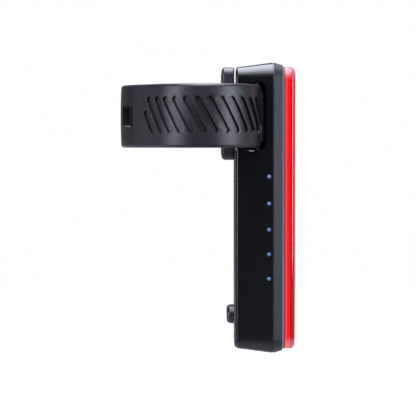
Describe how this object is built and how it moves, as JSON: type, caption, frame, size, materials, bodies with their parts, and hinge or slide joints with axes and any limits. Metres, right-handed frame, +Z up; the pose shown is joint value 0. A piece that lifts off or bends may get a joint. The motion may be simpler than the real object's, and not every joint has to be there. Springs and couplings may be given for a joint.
{
  "type": "bicycle tail light",
  "caption": "Slim upright rear light with a domed red lens, a rubber saddle pad and a slotted rubber strap that loops round a seat post and hooks on the side.",
  "frame": {"origin": "on the seat post's axis, at half the width of the strap", "axes": "+X from the seat post to the lens, +Z up along the seat post, -Y towards the strap's fixed end"},
  "size_m": [0.056, 0.0519, 0.0929],
  "materials": {
    "housing_plastic": "fine moulded texture, black",
    "bezel_plastic": "satin black",
    "cover_plastic": "satin black",
    "red_lens": "clear red, polished",
    "soft_rubber": "matt grey-black rubber",
    "strap_rubber": "matt grey-black rubber",
    "button_rubber": "matt black rubber",
    "clear_pipe": "clear, faintly blue",
    "milky_plastic": "milky diffuser",
    "white_plastic": "white reflector",
    "led_yellow": "phosphor face",
    "board_metal": "white solder mask on aluminium",
    "gold_pins": "gold plated",
    "board_resin": "green circuit board",
    "chip_resin": "black moulded resin",
    "bright_steel": "plain steel",
    "dark_steel": "black oxide",
    "cell_foil": "foil pouch",
    "foam_pad": "black foam",
    "hook_metal": "black anodised"
  },
  "bodies": {
    "light_body": {"rear_housing": "housing_plastic", "front_bezel": "bezel_plastic", "back_cover": "cover_plastic", "front_lens": "red_lens", "housing_seal": "soft_rubber", "saddle_pad": "soft_rubber", "strap_near": "strap_rubber", "port_flap_foot": "button_rubber", "indicator_light_pipe": "clear_pipe", "light_diffuser": "milky_plastic", "reflector_tray": "white_plastic", "led_emitters": "led_yellow", "indicator_leds": "led_yellow", "led_board": "board_metal", "board_link_pins": "gold_pins", "main_board": "board_resin", "control_chips": "chip_resin", "usb_socket": "bright_steel", "tact_switch": "chip_resin", "board_screws": "bright_steel", "battery_cell": "cell_foil", "battery_tabs": "bright_steel", "battery_pad": "foam_pad", "saddle_bracket": "cover_plastic", "bracket_screws": "dark_steel", "strap_anchor_pin": "bright_steel", "strap_hook": "hook_metal", "hook_screws": "dark_steel", "case_screws": "dark_steel"},
    "strap_mid": {"strap_mid": "strap_rubber"},
    "strap_tail": {"strap_tail": "strap_rubber"},
    "mode_button": {"mode_button": "button_rubber", "switch_plunger": "white_plastic"},
    "port_flap": {"port_flap": "button_rubber"}
  },
  "joints": [
    {"name": "strap_spread", "type": "hinge", "parent": "light_body", "child": "strap_mid", "pos_m": [-0.01793, 0.00414, 0], "axis": [0, 0, 1], "range_deg": [0, 24], "stiffness_Nm_per_rad": 0.02},
    {"name": "strap_peel", "type": "hinge", "parent": "strap_mid", "child": "strap_tail", "pos_m": [0.00868, 0.02477, 0], "axis": [0, 0, 1], "range_deg": [0, 60], "stiffness_Nm_per_rad": 0.01},
    {"name": "button_press", "type": "slide", "parent": "light_body", "child": "mode_button", "axis": [1, 0, 0], "range_m": [0, 0.0005], "stiffness_N_per_m": 3000},
    {"name": "flap_open", "type": "hinge", "parent": "light_body", "child": "port_flap", "pos_m": [0.01858, 0, -0.0499], "axis": [0, 1, 0], "range_deg": [0, 90], "stiffness_Nm_per_rad": 0.001}
  ],
  "couplings": [
    {"joint": "strap_peel", "follows": "strap_spread", "ratio": 2.5}
  ]
}
